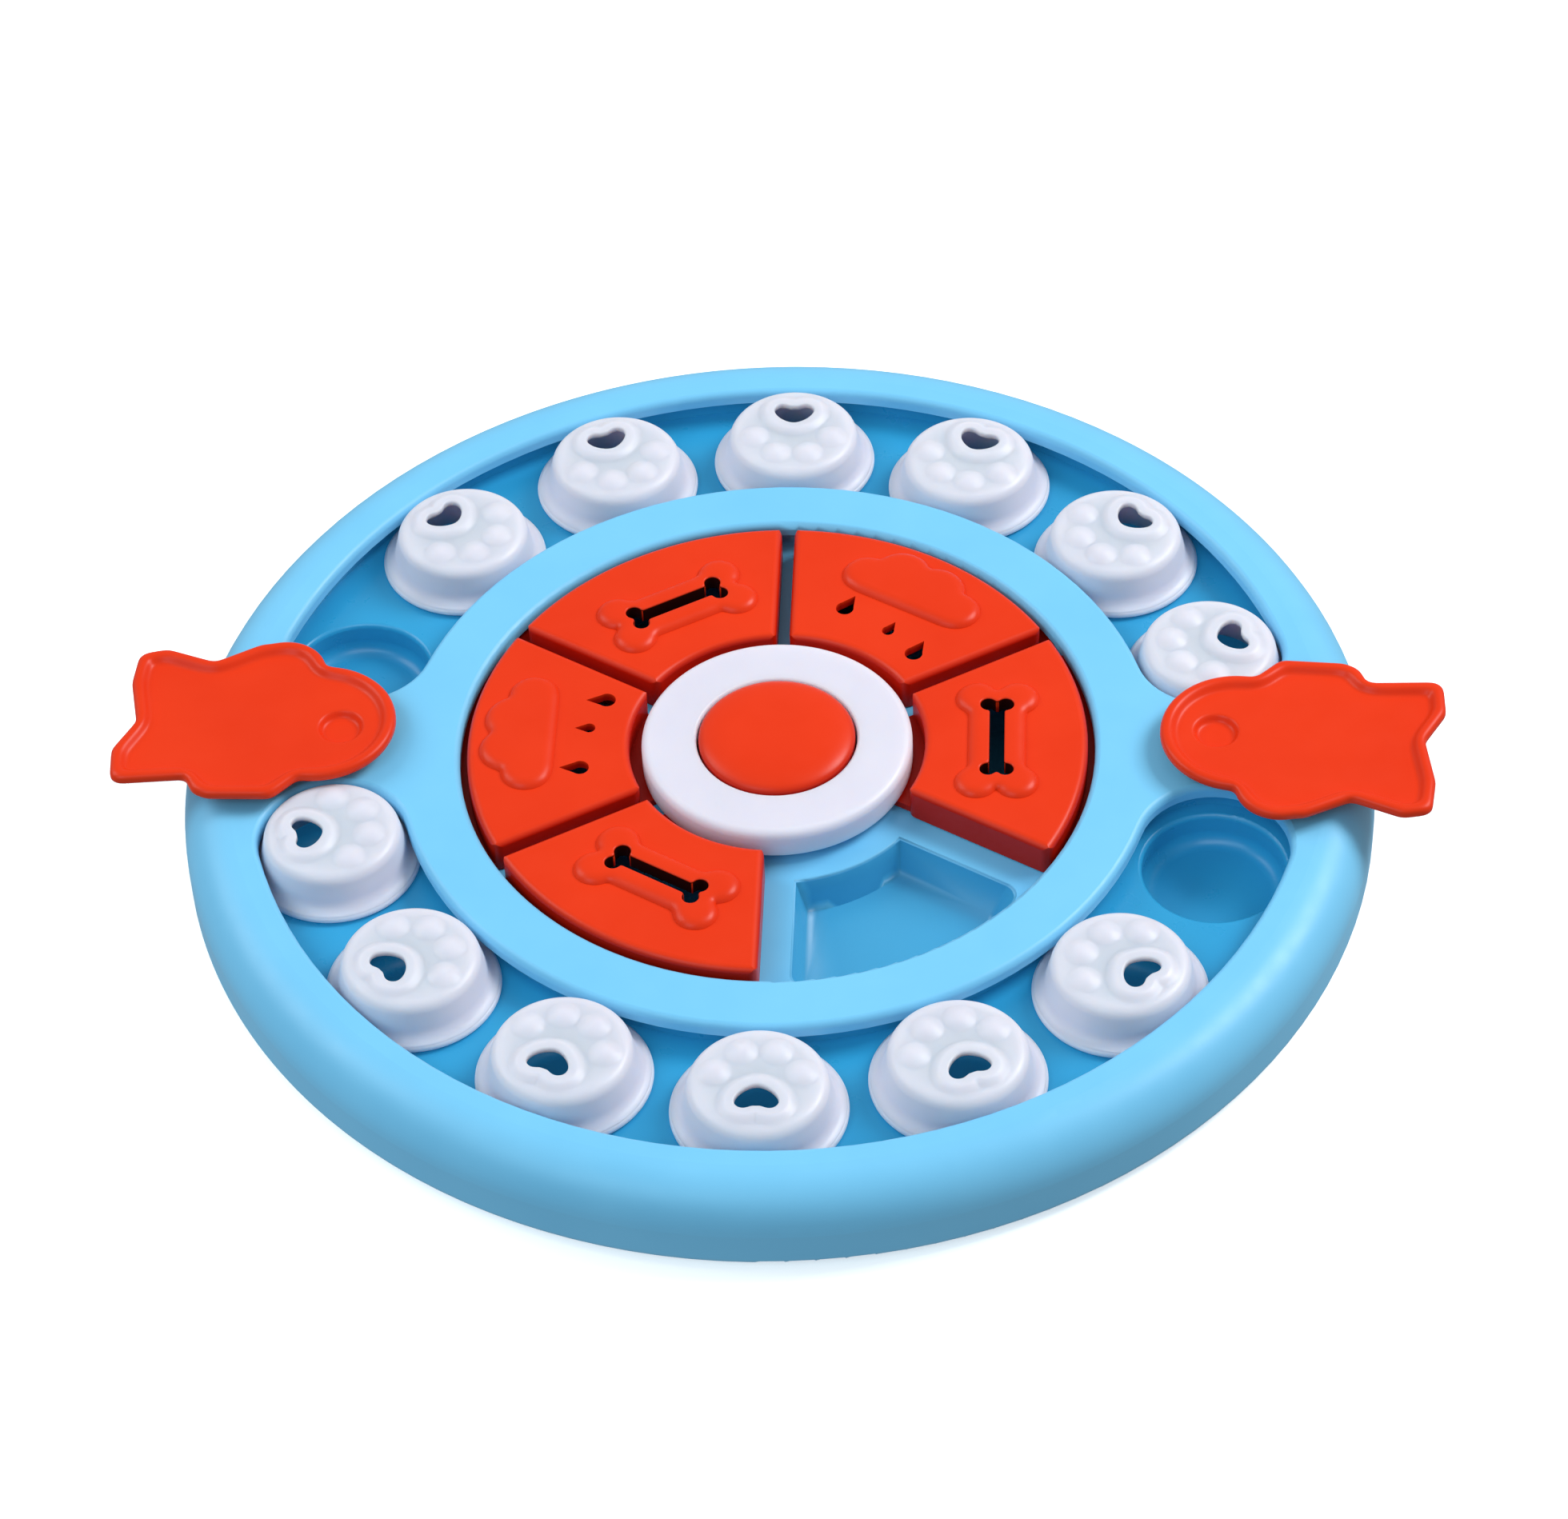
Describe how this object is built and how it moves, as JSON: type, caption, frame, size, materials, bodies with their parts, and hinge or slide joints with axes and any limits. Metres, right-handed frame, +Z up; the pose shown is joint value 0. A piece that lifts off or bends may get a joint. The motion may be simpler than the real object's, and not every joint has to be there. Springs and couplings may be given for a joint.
{
  "type": "cat puzzle feeder",
  "caption": "Round tray-shaped cat puzzle feeder with sliding paw knobs in two curved channels, a wheel of treat slides round a squeaking button and two swinging fish covers.",
  "frame": {"origin": "middle of the tray on the table, under the foot pads", "axes": "+Z up along the tray's axis, +X along the line through the two fish pivots, towards the right fish"},
  "size_m": [0.2781, 0.25, 0.0254],
  "materials": {
    "cover_blue": "satin moulded plastic",
    "cup_blue": "satin moulded plastic",
    "orange": "satin moulded plastic",
    "white": "satin moulded plastic",
    "screw_steel": "zinc plated",
    "pad_rubber": "matt",
    "bulb_rubber": "matt"
  },
  "bodies": {
    "tray": {"top_cover": "cover_blue", "rear_trough": "cup_blue", "front_trough": "cup_blue", "pocket_bowl": "cup_blue", "bottom_plate": "cover_blue", "foot_pads": "pad_rubber", "cover_screws": "screw_steel", "hub_ring": "white", "hub_screws": "screw_steel", "squeaker_bulb": "bulb_rubber", "squeaker_reed": "white"},
    "button": {"center_button": "orange"},
    "left_fish": {"left_fish": "orange", "left_fish_pin": "screw_steel"},
    "right_fish": {"right_fish": "orange", "right_fish_pin": "screw_steel"},
    "bone_slide_1": {"bone_slide_1": "orange"},
    "cloud_slide_1": {"cloud_slide_1": "orange"},
    "bone_slide_2": {"bone_slide_2": "orange"},
    "cloud_slide_2": {"cloud_slide_2": "orange"},
    "bone_slide_3": {"bone_slide_3": "orange"},
    "rear_knob_1": {"rear_knob_1": "white"},
    "rear_knob_2": {"rear_knob_2": "white"},
    "rear_knob_3": {"rear_knob_3": "white"},
    "rear_knob_4": {"rear_knob_4": "white"},
    "rear_knob_5": {"rear_knob_5": "white"},
    "rear_knob_6": {"rear_knob_6": "white"},
    "front_knob_1": {"front_knob_1": "white"},
    "front_knob_2": {"front_knob_2": "white"},
    "front_knob_3": {"front_knob_3": "white"},
    "front_knob_4": {"front_knob_4": "white"},
    "front_knob_5": {"front_knob_5": "white"},
    "front_knob_6": {"front_knob_6": "white"}
  },
  "joints": [
    {"name": "button_press", "type": "slide", "parent": "tray", "child": "button", "axis": [0, 0, -1], "range_m": [0, 0.003], "stiffness_N_per_m": 400, "springref_m": -0.001, "deforming": ["squeaker_bulb"]},
    {"name": "left_fish_swing", "type": "hinge", "parent": "tray", "child": "left_fish", "pos_m": [-0.0915, 0, 0.02], "axis": [0, 0, 1], "range_deg": [-90, 90]},
    {"name": "right_fish_swing", "type": "hinge", "parent": "tray", "child": "right_fish", "pos_m": [0.0915, 0, 0.02], "axis": [0, 0, 1], "range_deg": [-86, 94]},
    {"name": "rear_knob_1_shift", "type": "hinge", "parent": "tray", "child": "rear_knob_1", "pos_m": [0, 0, 0.0123], "axis": [0, 0, 1], "range_deg": [0, 24.3]},
    {"name": "rear_knob_2_shift", "type": "hinge", "parent": "tray", "child": "rear_knob_2", "pos_m": [0, 0, 0.0123], "axis": [0, 0, 1], "range_deg": [0, 24.3]},
    {"name": "rear_knob_3_shift", "type": "hinge", "parent": "tray", "child": "rear_knob_3", "pos_m": [0, 0, 0.0123], "axis": [0, 0, 1], "range_deg": [0, 24.3]},
    {"name": "rear_knob_4_shift", "type": "hinge", "parent": "tray", "child": "rear_knob_4", "pos_m": [0, 0, 0.0123], "axis": [0, 0, 1], "range_deg": [0, 24.3]},
    {"name": "rear_knob_5_shift", "type": "hinge", "parent": "tray", "child": "rear_knob_5", "pos_m": [0, 0, 0.0123], "axis": [0, 0, 1], "range_deg": [0, 24.3]},
    {"name": "rear_knob_6_shift", "type": "hinge", "parent": "tray", "child": "rear_knob_6", "pos_m": [0, 0, 0.0123], "axis": [0, 0, 1], "range_deg": [0, 24.3]},
    {"name": "front_knob_1_shift", "type": "hinge", "parent": "tray", "child": "front_knob_1", "pos_m": [0, 0, 0.0123], "axis": [0, 0, 1], "range_deg": [0, 24.3]},
    {"name": "front_knob_2_shift", "type": "hinge", "parent": "tray", "child": "front_knob_2", "pos_m": [0, 0, 0.0123], "axis": [0, 0, 1], "range_deg": [0, 24.3]},
    {"name": "front_knob_3_shift", "type": "hinge", "parent": "tray", "child": "front_knob_3", "pos_m": [0, 0, 0.0123], "axis": [0, 0, 1], "range_deg": [0, 24.3]},
    {"name": "front_knob_4_shift", "type": "hinge", "parent": "tray", "child": "front_knob_4", "pos_m": [0, 0, 0.0123], "axis": [0, 0, 1], "range_deg": [0, 24.3]},
    {"name": "front_knob_5_shift", "type": "hinge", "parent": "tray", "child": "front_knob_5", "pos_m": [0, 0, 0.0123], "axis": [0, 0, 1], "range_deg": [0, 24.3]},
    {"name": "front_knob_6_shift", "type": "hinge", "parent": "tray", "child": "front_knob_6", "pos_m": [0, 0, 0.0123], "axis": [0, 0, 1], "range_deg": [0, 24.3]},
    {"name": "bone_slide_1_turn", "type": "hinge", "parent": "tray", "child": "bone_slide_1", "pos_m": [0, 0, 0.013], "axis": [0, 0, 1], "continuous": true},
    {"name": "cloud_slide_1_turn", "type": "hinge", "parent": "tray", "child": "cloud_slide_1", "pos_m": [0, 0, 0.013], "axis": [0, 0, 1], "continuous": true},
    {"name": "bone_slide_2_turn", "type": "hinge", "parent": "tray", "child": "bone_slide_2", "pos_m": [0, 0, 0.013], "axis": [0, 0, 1], "continuous": true},
    {"name": "cloud_slide_2_turn", "type": "hinge", "parent": "tray", "child": "cloud_slide_2", "pos_m": [0, 0, 0.013], "axis": [0, 0, 1], "continuous": true},
    {"name": "bone_slide_3_turn", "type": "hinge", "parent": "tray", "child": "bone_slide_3", "pos_m": [0, 0, 0.013], "axis": [0, 0, 1], "continuous": true}
  ],
  "couplings": [
    {"joint": "rear_knob_2_shift", "follows": "rear_knob_1_shift", "ratio": 1},
    {"joint": "rear_knob_3_shift", "follows": "rear_knob_1_shift", "ratio": 1},
    {"joint": "rear_knob_4_shift", "follows": "rear_knob_1_shift", "ratio": 1},
    {"joint": "rear_knob_5_shift", "follows": "rear_knob_1_shift", "ratio": 1},
    {"joint": "rear_knob_6_shift", "follows": "rear_knob_1_shift", "ratio": 1},
    {"joint": "front_knob_2_shift", "follows": "front_knob_1_shift", "ratio": 1},
    {"joint": "front_knob_3_shift", "follows": "front_knob_1_shift", "ratio": 1},
    {"joint": "front_knob_4_shift", "follows": "front_knob_1_shift", "ratio": 1},
    {"joint": "front_knob_5_shift", "follows": "front_knob_1_shift", "ratio": 1},
    {"joint": "front_knob_6_shift", "follows": "front_knob_1_shift", "ratio": 1},
    {"joint": "cloud_slide_1_turn", "follows": "bone_slide_1_turn", "ratio": 1},
    {"joint": "bone_slide_2_turn", "follows": "bone_slide_1_turn", "ratio": 1},
    {"joint": "cloud_slide_2_turn", "follows": "bone_slide_1_turn", "ratio": 1},
    {"joint": "bone_slide_3_turn", "follows": "bone_slide_1_turn", "ratio": 1}
  ]
}
